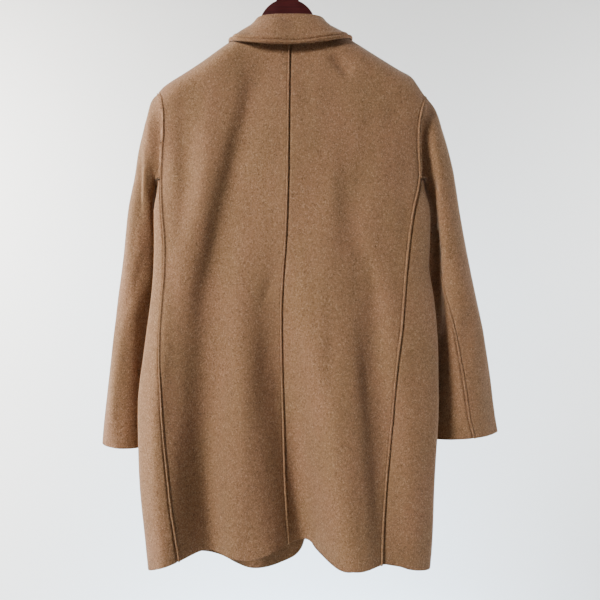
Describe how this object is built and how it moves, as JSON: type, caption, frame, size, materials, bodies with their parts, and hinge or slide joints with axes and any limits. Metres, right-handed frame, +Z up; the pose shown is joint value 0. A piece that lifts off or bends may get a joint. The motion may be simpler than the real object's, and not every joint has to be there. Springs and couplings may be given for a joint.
{
  "type": "topcoat on a hanger",
  "caption": "Knee-length wool topcoat with a turned-down collar and set-in sleeves, hanging open at neck, hem and cuffs on a wooden hanger with a wire hook.",
  "frame": {"origin": "inner top of the hanger's hook, where the rail carries it", "axes": "+Z up, +X towards the coat's left sleeve, +Y towards the coat's back"},
  "size_m": [0.7172, 0.2069, 1.1168],
  "materials": {
    "wool": "camel melange melton with a short raised nap",
    "horn": "polished dark horn",
    "lacquered_wood": "dark mahogany lacquer",
    "steel": "polished wire"
  },
  "bodies": {
    "root": {"back_left": "wool", "back_right": "wool", "front_left": "wool", "front_right": "wool", "side_left": "wool", "side_right": "wool", "upper_sleeve_left": "wool", "under_sleeve_left": "wool", "upper_sleeve_right": "wool", "under_sleeve_right": "wool", "collar": "wool", "button_1": "horn", "button_2": "horn", "button_3": "horn", "button_4": "horn", "hanger_body": "lacquered_wood", "hanger_ferrule": "steel", "hanger_hook": "steel"}
  },
  "joints": []
}
